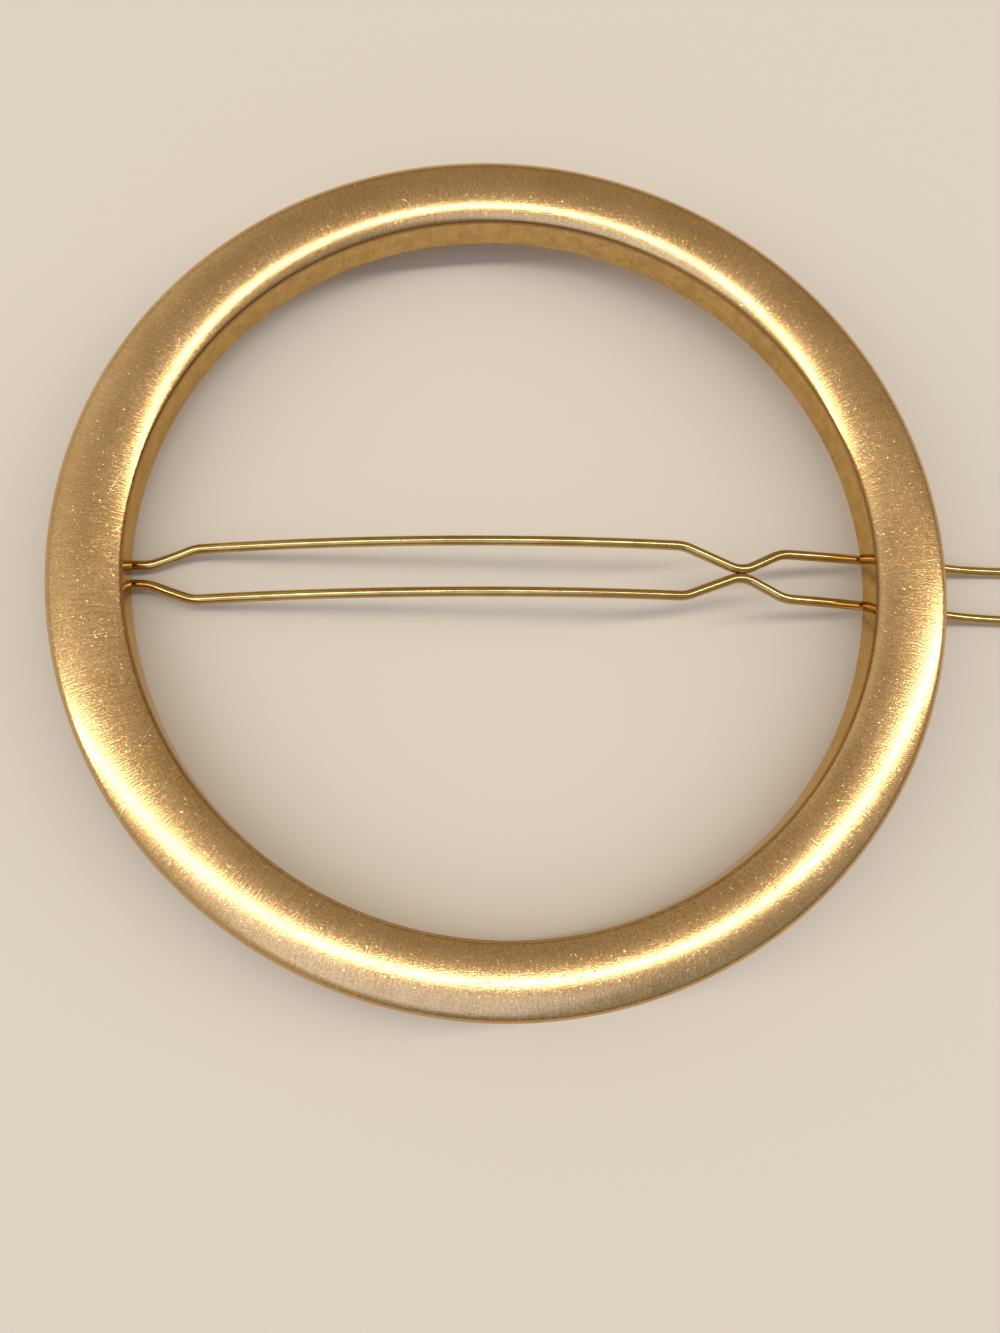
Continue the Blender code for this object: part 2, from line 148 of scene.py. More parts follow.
# Places along the closure, measured from the ring's axis.
FINGER_TIP_X = wire_high.x - RING_PLACE.x
PIVOT_X = -BAND_MIDDLE
STUD_X = BAND_MIDDLE
SPLAY_START_X = -RING_INNER_RADIUS + SPLAY_START_INSET
SPLAY_END_X = SPLAY_START_X + SPLAY_LENGTH
PINCH_X = RING_INNER_RADIUS - PINCH_INSET
PINCH_START_X = PINCH_X - PINCH_BODY_LENGTH
EYE_START_X = PINCH_X + PINCH_EYE_LENGTH
FINGER_BEND_CENTRE_X = FINGER_TIP_X - WIRE_RADIUS - FINGER_HALF_GAUGE
FINGER_FLAT_X = RING_OUTER_RADIUS + FINGER_BEND_OVERRUN
PINCH_CORNER_HALF_GAUGE = 0.00016
EAR_INNER_FACE = HINGE_HALF_GAUGE + WIRE_RADIUS + EAR_SIDE_CLEARANCE
EAR_OUTER_FACE = EAR_INNER_FACE + BRACKET_SHEET
FOOT_END = EAR_OUTER_FACE + FOOT_OVERHANG
ARCH_START_X = SPLAY_END_X
ARCH_END_X = RING_INNER_RADIUS
ARCH_SPAN = ARCH_END_X - ARCH_START_X
ARCH_END_HEIGHT = -(WIRE_RADIUS + CLOSED_CLEARANCE)
ARCH_CLIMB = ARCH_END_HEIGHT + PIVOT_DROP + 4 * ARCH_RISE
ARCH_START_SLOPE = ARCH_CLIMB / (ARCH_SPAN + ARCH_RAMP_LENGTH / 2)
ARCH_START_HEIGHT = -PIVOT_DROP + ARCH_START_SLOPE * ARCH_RAMP_LENGTH / 2

# Tones of the plating, each a pair that it changes between; the inner wall's pair is darker and mottled,
# partly a painted reflection. Then tones of painted shade at the inner rim's crease and on the outer
# shoulder, and of the places that are rubbed.
SATIN_TONES = ((0.65, 0.41, 0.175, 1), (0.72, 0.465, 0.21, 1))
# The wall's darker, mottled pair is partly its plating and partly a painted reflection.
WALL_TONES_AND_PAINTED_REFLECTION = ((0.50, 0.32, 0.12, 1), (0.61, 0.40, 0.16, 1))
BRIGHT_TONES = ((0.68, 0.43, 0.17, 1), (0.78, 0.53, 0.24, 1))
SPRING_TONES = ((0.46, 0.30, 0.11, 1), (0.56, 0.39, 0.155, 1))
SOLDER_TONES = ((0.50, 0.36, 0.18, 1), (0.62, 0.50, 0.30, 1))
# Painted shade: a dark line along the crease at the top of the inner wall.
INNER_RIM_SHADE_TONE = (0.36, 0.21, 0.08, 1)
# Painted shade: the outer shoulder darkens towards the outer edge.
SHOULDER_SHADE_TONE = (0.46, 0.29, 0.115, 1)
SHOULDER_TONE_SHARE = 0.6
RUBBED_EDGE_TONE = (0.88, 0.74, 0.48, 1)
MARK_TONE = (0.92, 0.84, 0.68, 1)
MARK_TONE_SHARE = 0.5
# Plated brass keeps its colour where it is seen at a glancing angle.
GRAZING_TINT = (1.0, 0.84, 0.58, 1)

# Satin cover: where its polished rim, its shoulder and its wall begin, and its grain, lines and marks.
RIM_FADE_START = 0.00004
RIM_FADE_END = 0.00028
SHOULDER_FADE_START = 0.00070
SHOULDER_FADE_END = 0.00005
WALL_FADE_START = 0.00030
WALL_FADE_END = 0.00010
SATIN_GRAIN_SIZE = 0.00016
FLAT_FACET_SHARE = 0.15
BRUSH_LINE_SPACING = 0.00014
BRUSH_LINE_LENGTH = 0.0012
DARKEST_SHADE = 0.84
GRAIN_SHADE = 0.24
LINE_SHADE = 0.10
LINE_RELIEF = 0.10
GRAIN_RELIEF = 0.09
FACET_RELIEF = 0.60
MARK_RELIEF = 0.05
POLISHED_RELIEF_SHARE = 0.05
SATIN_RELIEF_HEIGHT = 0.0001
HANDLED_FADE = (-0.018, -0.030)
FEWEST_MARKS = 0.10
SATIN_SCRATCHES = (
    {"Length": 0.044, "Spacing": 0.0012, "Turn": -1.16, "Share": 0.9, "Thickness": 0.05},
    {"Length": 0.024, "Spacing": 0.0011, "Turn": -1.02, "Share": 0.5, "Thickness": 0.045},
    {"Length": 0.0040, "Spacing": 0.0021, "Turn": 0.50, "Share": 0.22, "Thickness": 0.04},
)

# Polished fittings and drawn wire.
BRIGHT_SCRATCHES = {"Length": 0.018, "Spacing": 0.0009, "Turn": 0.4, "Share": 0.7}
BRIGHT_GRAIN_SIZE = 0.00012
WEAR_BREAKUP_SIZE = 0.0004
FINE_RELIEF_HEIGHT = 0.00001
DRAWN_LINES_ROUND = 26.0
DRAWN_LINE_SCALE = (1.0, 4.0, 1.0)

# Camera, fitted to the ring's outline and its inner wall in the photograph.
PHOTO_HEIGHT = 1333
FOCAL_LENGTH_IN_PIXELS = 1152
SENSOR_SIZE = 36
CAMERA_PLACE = (-0.013582, -0.030285, 0.091821)
CAMERA_TURN_DEGREES = (14.11, -4.45, -0.61)

# Studio: lamps, table and surroundings.
STRIP_PANELS = 5
STRIP_PANEL_DEGREES = 30
STRIP_DISTANCE = 3.0
STRIP_WIDTH = 0.26
STRIP_RADIANCE = 12
STRIP_TURN_DEGREES = 8
STRIP_COLOUR = (1.0, 0.97, 0.90)
WINDOW_DIRECTION = (-0.18, -0.56, 0.80)
WINDOW_DISTANCE = 3.0
WINDOW_SIZE = (2.4, 2.5)
WINDOW_RADIANCE = 0.92
WINDOW_COLOUR = (0.50, 0.61, 1.0)
TABLE_HALF_WIDTH = 4.0
TABLE_COLOUR = (0.62, 0.56, 0.48, 1)
OVERHEAD_TONE = (0.47, 0.44, 0.39, 1)
FAR_TONE = (0.38, 0.32, 0.24, 1)
NEAR_TONE = (0.38, 0.385, 0.385, 1)
LEFT_TONE = (0.70, 0.66, 0.58, 1)
LOW_TONE = (0.15, 0.12, 0.085, 1)


def arch_height(x):
    """Height of the wire's arched stretch over the ring's back, a parabola between its ends."""
    along = (x - ARCH_START_X) / ARCH_SPAN
    chord = ARCH_START_HEIGHT + (ARCH_END_HEIGHT - ARCH_START_HEIGHT) * along
    return chord + 4 * ARCH_RISE * along * (1 - along)


def arch_slope(x):
    along = (x - ARCH_START_X) / ARCH_SPAN
    return (ARCH_END_HEIGHT - ARCH_START_HEIGHT + 4 * ARCH_RISE * (1 - 2 * along)) / ARCH_SPAN


def wire_height(x):
    """Height of the wire's centre over the ring's back, at a place along the closure."""
    ramp_start = ARCH_START_X - ARCH_RAMP_LENGTH
    if x <= ramp_start:
        return -PIVOT_DROP
    if x < ARCH_START_X:
        return -PIVOT_DROP + ARCH_START_SLOPE * (x - ramp_start) ** 2 / (2 * ARCH_RAMP_LENGTH)
    if x <= FINGER_FLAT_X:
        return arch_height(x)
    run = x - FINGER_FLAT_X
    bend = min(run, FINGER_BEND_LENGTH)
    steep = arch_slope(FINGER_FLAT_X)
    flattening = -FINGER_SLOPE_SHARE - steep
    height = arch_height(FINGER_FLAT_X) + steep * bend + flattening * bend ** 2 / (2 * FINGER_BEND_LENGTH)
    return height - FINGER_SLOPE_SHARE * (run - bend)


# Mesh helpers.
def add_piece(name, data, place=(0, 0, 0)):
    piece = bpy.data.objects.new(name, data)
    piece.location = place
    bpy.context.scene.collection.objects.link(piece)
    return piece


def mesh_from_shape(name, shape):
    bmesh.ops.recalc_face_normals(shape, faces=shape.faces)
    mesh = bpy.data.meshes.new(name)
    shape.to_mesh(mesh)
    shape.free()
    return mesh


def flatten_modifiers(piece):
    """Put the evaluated mesh in place of the piece's curve or modifiers, and weld its loose rims."""
    bpy.context.view_layer.update()
    evaluated = piece.evaluated_get(bpy.context.evaluated_depsgraph_get())
    mesh = bpy.data.meshes.new_from_object(evaluated)
    mesh.transform(piece.matrix_world)
    name = piece.name
    bpy.data.objects.remove(piece, do_unlink=True)
    shape = bmesh.new()
    shape.from_mesh(mesh)
    bmesh.ops.remove_doubles(shape, verts=shape.verts, dist=MERGE_DISTANCE)
    return add_piece(name, mesh_from_shape(name, shape))


def smooth_round_faces(piece, sharp_degrees=SHARP_EDGE_DEGREES):
    piece.data.shade_smooth()
    piece.data.set_sharp_from_angle(angle=math.radians(sharp_degrees))


def arc(centre, radius, start_degrees, end_degrees, steps):
    """Points on a circle's arc, both ends included."""
    points = []
    for step in range(steps + 1):
        angle = math.radians(start_degrees + (end_degrees - start_degrees) * step / steps)
        points.append((centre[0] + radius * math.cos(angle), centre[1] + radius * math.sin(angle)))
    return points


def round_corner(before, corner, after, radius, step_degrees=ROUND_STEP_DEGREES):
    """The arc that takes the place of a corner between two straight lines."""
    here = Vector(corner)
    back = (Vector(before) - here).normalized()
    ahead = (Vector(after) - here).normalized()
    half_angle = back.angle(ahead) / 2
    turning = math.pi - 2 * half_angle
    setback = radius / math.tan(half_angle)
    centre = here + (back + ahead).normalized() * radius / math.sin(half_angle)
    start = here + back * setback - centre
    steps = max(2, math.ceil(math.degrees(turning) / step_degrees))
    side = 1 if back.cross(ahead) < 0 else -1
    points = []
    for step in range(steps + 1):
        angle = side * turning * step / steps
        turned_x = start.x * math.cos(angle) - start.y * math.sin(angle)
        turned_y = start.x * math.sin(angle) + start.y * math.cos(angle)
        points.append((centre.x + turned_x, centre.y + turned_y))
    return points


def round_outline(corners, closed):
    """An outline through corners (x, y, bend radius), with an arc wherever the radius isn't zero."""
    points = []
    count = len(corners)
    for index, (x, y, radius) in enumerate(corners):
        at_end = not closed and index in (0, count - 1)
        if at_end or not radius:
            points.append((x, y))
            continue
        before = corners[index - 1][:2]
        after = corners[(index + 1) % count][:2]
        points += round_corner(before, (x, y), after, radius)
    return points


def turn_section(name, points, steps, closed):
    """A piece turned about Z from a section of (radius, height) points."""
    shape = bmesh.new()
    corners = [shape.verts.new((radius, 0, height)) for radius, height in points]
    for first, second in zip(corners, corners[1:]):
        shape.edges.new((first, second))
    if closed:
        shape.edges.new((corners[-1], corners[0]))
    mesh = bpy.data.meshes.new(name)
    shape.to_mesh(mesh)
    shape.free()
    piece = add_piece(name, mesh)
    screw = piece.modifiers.new("Turn", "SCREW")
    screw.axis = "Z"
    screw.steps = steps
    screw.render_steps = steps
    screw.use_merge_vertices = True
    screw.merge_threshold = MERGE_DISTANCE
    return flatten_modifiers(piece)


def place_piece(piece, body, node, material):
    """Set a finished piece on the ring's axis, and tell the frame what it is."""
    piece.location = RING_PLACE
    piece.data.materials.clear()
    piece.data.materials.append(material)
    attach(piece, body)
    if node:
        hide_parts(node)


# Ring.
def dome_line():
    """The dome from its inner edge over the crown to the top of the outer wall."""
    crown_x = RING_INNER_RADIUS + BAND_WIDTH * CROWN_SHARE
    first_angle = SHOULDER_START_SHARE * math.pi / 2
    inner_reach = (crown_x - RING_INNER_RADIUS) / math.cos(first_angle)
    inner_lift = (CROWN_HEIGHT - INNER_WALL_HEIGHT) / (1 - math.sin(first_angle))
    outer_reach = RING_OUTER_RADIUS - crown_x
    outer_lift = CROWN_HEIGHT - OUTER_WALL_HEIGHT
    points = []
    for step in range(SHOULDER_STEPS + 1):
        angle = first_angle + (math.pi / 2 - first_angle) * step / SHOULDER_STEPS
        height = CROWN_HEIGHT - inner_lift * (1 - math.sin(angle))
        points.append((crown_x - inner_reach * math.cos(angle), height))
    for step in range(1, SHOULDER_STEPS + 1):
        angle = math.pi / 2 * (1 - step / SHOULDER_STEPS)
        height = OUTER_WALL_HEIGHT + outer_lift * math.sin(angle)
        points.append((crown_x + outer_reach * math.cos(angle), height))
    return points


def make_ring_cover(material):
    """The pressed cover: a rounded inner edge, a dome, plain walls and turned hems at the back."""
    dome = dome_line()
    inside_top = CROWN_HEIGHT - COVER_SHEET
    inside_foot = INNER_WALL_HEIGHT - COVER_SHEET
    inner_skin = RING_INNER_RADIUS + COVER_SHEET
    outer_skin = RING_OUTER_RADIUS - COVER_SHEET
    corners = [(RING_INNER_RADIUS, 0, HEM_RADIUS)]
    corners += [(*dome[0], INNER_EDGE_RADIUS)]
    corners += [(x, z, 0) for x, z in dome[1:]]
    corners += [(RING_OUTER_RADIUS, 0, HEM_RADIUS), (outer_skin, 0, HEM_RADIUS)]
    corners += [(outer_skin, inside_foot, COVER_SHEET), (BAND_MIDDLE, inside_top, COVER_SHEET)]
    corners += [(inner_skin, inside_foot, COVER_SHEET), (inner_skin, 0, HEM_RADIUS)]
    outline = round_outline(corners, closed=True)
    cover = turn_section("ring_cover_fine", outline, RING_STEPS, closed=True)
    smooth_round_faces(cover)
    place_piece(cover, "ring", "ring_cover", material)


def make_back_plate(material):
    """The flat plate between the cover's two hems, drilled for the stud's tenon."""
    inner = RING_INNER_RADIUS + COVER_SHEET + SOLDER_GAP
    outer = RING_OUTER_RADIUS - COVER_SHEET - SOLDER_GAP
    corners = [(inner, 0, HEM_RADIUS), (inner, BACK_PLATE_SHEET, 0)]
    corners += [(outer, BACK_PLATE_SHEET, 0), (outer, 0, HEM_RADIUS)]
    outline = round_outline(corners, closed=True)
    plate = turn_section("ring_back_plate_fine", outline, RING_STEPS, closed=True)
    drill = make_drill(STUD_TENON_RADIUS + STUD_TENON_CLEARANCE, BACK_PLATE_SHEET + 2 * CUT_OVERRUN)
    drill.location = (STUD_X, CLOSURE_OFFSET, BACK_PLATE_SHEET / 2)
    plate = cut_piece(plate, drill, "DIFFERENCE")
    smooth_round_faces(plate)
    place_piece(plate, "ring", "ring_back_plate", material)


def make_drill(radius, length):
    shape = bmesh.new()
    ends = {"radius1": radius, "radius2": radius, "cap_ends": True}
    bmesh.ops.create_cone(shape, segments=HOLE_STEPS, depth=length, **ends)
    return add_piece("drill", mesh_from_shape("drill", shape))


def cut_piece(piece, cutter, operation):
    boolean = piece.modifiers.new("Cut", "BOOLEAN")
    boolean.operation = operation
    boolean.solver = "EXACT"
    boolean.object = cutter
    piece = flatten_modifiers(piece)
    bpy.data.objects.remove(cutter, do_unlink=True)
    return piece


def make_seam_bead(name, radius, material):
    """Solder that fills the groove between the back plate and one hem of the cover."""
    half = HEM_RADIUS + SOLDER_GAP / 2
    sink = HEM_RADIUS * BEAD_SINK_SHARE
    rim = sink * BEAD_RIM_SHARE
    section = [(radius - half, rim), (radius, sink * BEAD_SINK_SHARE), (radius + half, rim)]
    section += [(radius + SOLDER_GAP / 2, HEM_RADIUS), (radius - SOLDER_GAP / 2, HEM_RADIUS)]
    bead = turn_section(name, section, RING_STEPS, closed=True)
    smooth_round_faces(bead)
    place_piece(bead, "ring", None, material)


# Hinge bracket.
def extrude_outlines(name, outlines, thickness):
    """A flat plate with square edges from an outline and, after it, the outlines of its holes."""
    curve = bpy.data.curves.new(name, "CURVE")
    curve.dimensions = "2D"
    curve.fill_mode = "BOTH"
    curve.extrude = thickness / 2
    for outline in outlines:
        spline = curve.splines.new("POLY")
        spline.points.add(len(outline) - 1)
        for point, (x, y) in zip(spline.points, outline):
            point.co = (x, y, 0, 1)
        spline.use_cyclic_u = True
    return add_piece(name, curve)


def bracket_fold():
    """The strip's U section across the closure: base on top, an ear at each side, rounded folds."""
    outer = BRACKET_FOLD_RADIUS + BRACKET_SHEET / 2
    inner = outer - BRACKET_SHEET
    ear_foot = -(PIVOT_DROP + EAR_TIP_RADIUS + CUT_OVERRUN)
    top = -SOLDER_GAP
    right = arc((EAR_OUTER_FACE - outer, top - outer), outer, 90, 0, OUTER_FOLD_STEPS)
    right += [(EAR_OUTER_FACE, ear_foot), (EAR_INNER_FACE, ear_foot)]
    right += arc((EAR_INNER_FACE - inner, top - BRACKET_SHEET - inner), inner, 0, 90, INNER_FOLD_STEPS)
    return right + [(-y, z) for y, z in reversed(right)]


def bracket_side():
    """The strip seen along the hinge pin: a long base, and ears that narrow to a round tip."""
    half = BRACKET_LENGTH / 2
    base_foot = -(SOLDER_GAP + BRACKET_SHEET / 2 + BRACKET_FOLD_RADIUS + FOLD_RUNOUT)
    points = [(-half, CUT_OVERRUN), (half, CUT_OVERRUN), (half, base_foot), (EAR_TIP_RADIUS, base_foot)]
    points += arc((0, -PIVOT_DROP), EAR_TIP_RADIUS, 0, -180, EAR_TIP_STEPS)
    points += [(-EAR_TIP_RADIUS, base_foot), (-half, base_foot)]
    return points


def make_hinge_bracket(material):
    """The folded strip, cut to its side outline with the holes for the wire's feet, edges eased."""
    place = (PIVOT_X, CLOSURE_OFFSET, 0)
    strip = extrude_outlines("hinge_bracket_fine", [bracket_fold()], BRACKET_LENGTH + 2 * CUT_OVERRUN)
    strip.rotation_euler = (math.pi / 2, 0, math.pi / 2)
    strip.location = place
    strip = flatten_modifiers(strip)
    hole_radius = WIRE_RADIUS + PIVOT_RUNNING_CLEARANCE
    hole = arc((0, -PIVOT_DROP), hole_radius, 0, 360, HOLE_STEPS)[:-1]
    thickness = 2 * (EAR_OUTER_FACE + CUT_OVERRUN)
    side = extrude_outlines("bracket_side", [bracket_side(), hole], thickness)
    side.rotation_euler = (math.pi / 2, 0, 0)
    side.location = place
    side = flatten_modifiers(side)
    strip = cut_piece(strip, side, "INTERSECT")
    bevel = strip.modifiers.new("Eased edges", "BEVEL")
    bevel.width = BRACKET_EDGE_RADIUS
    bevel.segments = BRACKET_EDGE_STEPS
    bevel.limit_method = "ANGLE"
    bevel.angle_limit = math.radians(SHARP_EDGE_DEGREES)
    strip = flatten_modifiers(strip)
    smooth_round_faces(strip)
    place_piece(strip, "ring", "hinge_bracket", material)


# Catch stud.
def make_catch_stud(material):
    """The turned stud, from the foot of its domed head up to the rivet inside the ring."""
    head_radius = EYE_HALF_GAUGE - WIRE_RADIUS - STUD_HEAD_CLEARANCE
    head_top = wire_height(STUD_X) - WIRE_RADIUS - STUD_HEAD_CLEARANCE
    head_foot = head_top - STUD_HEAD_HEIGHT
    flange_top = -SOLDER_GAP
    flange_foot = flange_top - STUD_FLANGE_THICKNESS
    rivet_foot = BACK_PLATE_SHEET + SOLDER_GAP
    rivet_top = rivet_foot + STUD_RIVET_HEIGHT
    edge = STUD_EDGE_RADIUS
    corners = [(0, rivet_top, 0), (STUD_RIVET_RADIUS, rivet_top, edge)]
    corners += [(STUD_RIVET_RADIUS, rivet_foot, edge), (STUD_TENON_RADIUS, rivet_foot, 0)]
    corners += [(STUD_TENON_RADIUS, flange_top, 0)]
    corners += [(STUD_FLANGE_RADIUS, flange_top, edge), (STUD_FLANGE_RADIUS, flange_foot, edge)]
    corners += [(STUD_NECK_RADIUS, flange_foot, edge), (STUD_NECK_RADIUS, head_top, edge)]
    corners += [(head_radius, head_top, edge), (head_radius, head_top - STUD_HEAD_EDGE, 0)]
    dome_height = head_top - STUD_HEAD_EDGE - head_foot
    for step in range(1, STUD_HEAD_STEPS):
        angle = math.pi / 2 * step / STUD_HEAD_STEPS
        height = head_top - STUD_HEAD_EDGE - dome_height * math.sin(angle)
        corners.append((head_radius * math.cos(angle), height, 0))
    corners.append((0, head_foot, 0))
    outline = round_outline(corners, closed=False)
    stud = turn_section("catch_stud_fine", outline, STUD_STEPS, closed=False)
    stud.data.transform(Matrix.Translation((STUD_X, CLOSURE_OFFSET, 0)))
    smooth_round_faces(stud)
    place_piece(stud, "ring", "catch_stud", material)


# Wire.
def leg_plan():
    """One leg of the wire in plan: foot, hinge, splay, body, waist, eye and the loop's start."""
    corners = [
        (PIVOT_X, FOOT_END, 0),
        (PIVOT_X, HINGE_HALF_GAUGE, FOOT_BEND_RADIUS),
        (SPLAY_START_X, HINGE_HALF_GAUGE, SPLAY_BEND_RADIUS),
        (SPLAY_END_X, BODY_HALF_GAUGE, SPLAY_BEND_RADIUS),
        (PINCH_START_X, BODY_HALF_GAUGE, SPLAY_BEND_RADIUS),
        (PINCH_X, PINCH_CORNER_HALF_GAUGE, PINCH_BEND_RADIUS),
        (EYE_START_X, EYE_HALF_GAUGE, SPLAY_BEND_RADIUS),
        (FINGER_BEND_CENTRE_X, FINGER_HALF_GAUGE, 0),
    ]
    points = [corners[0][:2]]
    for before, corner, after in zip(corners, corners[1:], corners[2:]):
        points += round_corner(before[:2], corner[:2], after[:2], corner[2], WIRE_BEND_STEP_DEGREES)
    points.append(corners[-1][:2])
    filled = [Vector(points[0])]
    for first, second in zip(map(Vector, points), map(Vector, points[1:])):
        count = max(1, math.ceil((second - first).length / WIRE_POINT_PITCH))
        filled += [first.lerp(second, step / count) for step in range(1, count + 1)]
    return filled


def wire_line():
    """The wire's centre line, from one foot round the finger loop to the other foot."""
    leg = leg_plan()
    bend_steps = math.ceil(180 / WIRE_BEND_STEP_DEGREES)
    loop = arc((FINGER_BEND_CENTRE_X, 0), FINGER_HALF_GAUGE, 90, -90, bend_steps)[1:-1]
    plan = [(point.x, point.y) for point in leg] + loop + [(point.x, -point.y) for point in reversed(leg)]
    return [Vector((x, y + CLOSURE_OFFSET, wire_height(x))) for x, y in plan]


def sweep_wire(name, line, radii):
    """A round tube along a line, with its length and its turn kept as texture coordinates."""
    shape = bmesh.new()
    lengthwise = shape.loops.layers.uv.new("along")
    side = Vector((0, 0, 1))
    rings = []
    travelled = [0]
    for first, second in zip(line, line[1:]):
        travelled.append(travelled[-1] + (second - first).length)
    for index, place in enumerate(line):
        ahead = (line[min(index + 1, len(line) - 1)] - line[max(index - 1, 0)]).normalized()
        side = (side - ahead * side.dot(ahead)).normalized()
        across = ahead.cross(side)
        ring = []
        for step in range(WIRE_SIDES):
            angle = 2 * math.pi * step / WIRE_SIDES
            outward = side * math.cos(angle) + across * math.sin(angle)
            ring.append(shape.verts.new(place + outward * radii[index]))
        rings.append(ring)
    for index, (near, far) in enumerate(zip(rings, rings[1:])):
        for step in range(WIRE_SIDES):
            following = (step + 1) % WIRE_SIDES
            face = shape.faces.new((near[step], near[following], far[following], far[step]))
            turns = (step, step + 1, step + 1, step)
            lengths = (travelled[index], travelled[index], travelled[index + 1], travelled[index + 1])
            for loop, turn, length in zip(face.loops, turns, lengths):
                loop[lengthwise].uv = (turn / WIRE_SIDES, length)
    shape.faces.new(list(reversed(rings[0])))
    shape.faces.new(rings[-1])
    return mesh_from_shape(name, shape)


def make_wire_loop(material):
    """The spring wire: its legs touch at the waist, and its cut feet have a small chamfer."""
    line = wire_line()
    start = (line[1] - line[0]).normalized()
    end = (line[-2] - line[-1]).normalized()
    first_foot = [line[0], line[0] + start * FOOT_CHAMFER]
    last_foot = [line[-1] + end * FOOT_CHAMFER, line[-1]]
    line = first_foot + line[1:-1] + last_foot
    radii = [WIRE_RADIUS] * len(line)
    radii[0] = radii[-1] = WIRE_RADIUS - FOOT_CHAMFER
    wire = add_piece("wire_loop_fine", sweep_wire("wire_loop_fine", line, radii))
    smooth_round_faces(wire, WIRE_SHARP_DEGREES)
    place_piece(wire, "wire", "wire_loop", material)


# Shader helpers.
def connect(tree, value, socket):
    if isinstance(value, bpy.types.NodeSocket):
        tree.links.new(value, socket)
    else:
        socket.default_value = value


def add_node(tree, kind, inputs=None, **settings):
    """A node with its settings made and its inputs linked or set, by name or by number."""
    node = tree.nodes.new(kind)
    for name, value in settings.items():
        setattr(node, name, value)
    for key, value in (inputs or {}).items():
        connect(tree, value, node.inputs[key])
    return node


def calculate(tree, operation, first, second=0.0, third=0.0):
    inputs = {0: first, 1: second, 2: third}
    return add_node(tree, "ShaderNodeMath", inputs, operation=operation).outputs[0]


def calculate_vector(tree, operation, first, second=(0, 0, 0)):
    inputs = {0: first, 1: second}
    return add_node(tree, "ShaderNodeVectorMath", inputs, operation=operation).outputs


def fade(tree, value, low, high, into_low=0.0, into_high=1.0):
    """A smooth step: a value's run from low to high becomes a run between two other values."""
    inputs = {"Value": value, "From Min": low, "From Max": high, "To Min": into_low, "To Max": into_high}
    return add_node(tree, "ShaderNodeMapRange", inputs, interpolation_type="SMOOTHSTEP").outputs["Result"]


def mix_colours(tree, share, first, second, blend="MIX"):
    node = tree.nodes.new("ShaderNodeMix")
    node.data_type = "RGBA"
    node.blend_type = blend
    for key, value in ((0, share), (6, first), (7, second)):
        connect(tree, value, node.inputs[key])
    return node.outputs[2]


def mix_values(tree, share, first, second):
    return add_node(tree, "ShaderNodeMix", {0: share, 2: first, 3: second}).outputs[0]


def add_noise(tree, vector, scale, detail, roughness):
    inputs = {"Vector": vector, "Scale": scale, "Detail": detail, "Roughness": roughness}
    return add_node(tree, "ShaderNodeTexNoise", inputs).outputs["Fac"]


def measure_from_axis(tree, place):
    """The parts of a place, the place with its height left out, and its distance from the ring's axis."""
    parts = add_node(tree, "ShaderNodeSeparateXYZ", {0: place}).outputs
    flat = add_node(tree, "ShaderNodeCombineXYZ", {"X": parts["X"], "Y": parts["Y"]}).outputs[0]
    return parts, flat, calculate_vector(tree, "LENGTH", flat)["Value"]


def start_group(name, inputs, outputs):
    """A shader node group with named inputs (name, kind, value) and outputs (name, kind)."""
    tree = bpy.data.node_groups.new(name, "ShaderNodeTree")
    for label, kind, value in inputs:
        socket = tree.interface.new_socket(label, in_out="INPUT", socket_type="NodeSocket" + kind)
        if value is not None:
            socket.default_value = value
    for label, kind in outputs:
        tree.interface.new_socket(label, in_out="OUTPUT", socket_type="NodeSocket" + kind)
    return tree, tree.nodes.new("NodeGroupInput").outputs, tree.nodes.new("NodeGroupOutput").inputs


def use_group(tree, group, inputs):
    node = tree.nodes.new("ShaderNodeGroup")
    node.node_tree = group
    for key, value in inputs.items():
        connect(tree, value, node.inputs[key])
    return node.outputs


def start_material(name):
    material = bpy.data.materials.new(name)
    material.use_nodes = True
    tree = material.node_tree
    return material, tree, tree.nodes["Principled BSDF"]


def start_plating(name):
    """A plated metal, and the place on its piece that its finish reads."""
    material, tree, shader = start_material(name)
    shader.inputs["Metallic"].default_value = 1.0
    shader.inputs["Specular Tint"].default_value = GRAZING_TINT
    return material, tree, shader, tree.nodes.new("ShaderNodeTexCoord").outputs["Object"]


def raise_surface(tree, shader, height, strength, distance):
    """Let a height turn the surface's normal."""
    bump = add_node(tree, "ShaderNodeBump", {"Height": height, "Strength": strength, "Distance": distance})
    tree.links.new(bump.outputs["Normal"], shader.inputs["Normal"])


# Finishes that several materials share.
def make_satin_grain_group():
    """The grain of blasted plating: a fine noise, and small facets that tilt, a few of them strongly."""
    inputs = [("Vector", "Vector", None), ("Grain Size", "Float", 0.0002)]
    tree, source, result = start_group("satin_grain", inputs, [("Height", "Float"), ("Facets", "Float")])
    frequency = calculate(tree, "DIVIDE", 1.0, source["Grain Size"])
    grain = add_noise(tree, source["Vector"], frequency, 2.0, 0.6)
    cells = add_node(tree, "ShaderNodeTexVoronoi", {"Vector": source["Vector"], "Scale": frequency}).outputs
    offset = calculate_vector(tree, "SUBTRACT", source["Vector"], cells["Position"])["Vector"]
    tilt = calculate_vector(tree, "SUBTRACT", cells["Color"], (0.5, 0.5, 0.5))["Vector"]
    rise = calculate_vector(tree, "DOT_PRODUCT", offset, tilt)["Value"]
    inside = fade(tree, cells["Distance"], 0.65, 0.35)
    chance = add_node(tree, "ShaderNodeSeparateColor", {0: cells["Color"]}).outputs[0]
    steepness = fade(tree, chance, 0.93, 0.99, FLAT_FACET_SHARE, 1.0)
    facets = calculate(tree, "MULTIPLY", calculate(tree, "MULTIPLY", rise, frequency), inside)
    facets = calculate(tree, "MULTIPLY", facets, steepness)
    tree.links.new(grain, result["Height"])
    tree.links.new(facets, result["Facets"])
    return tree


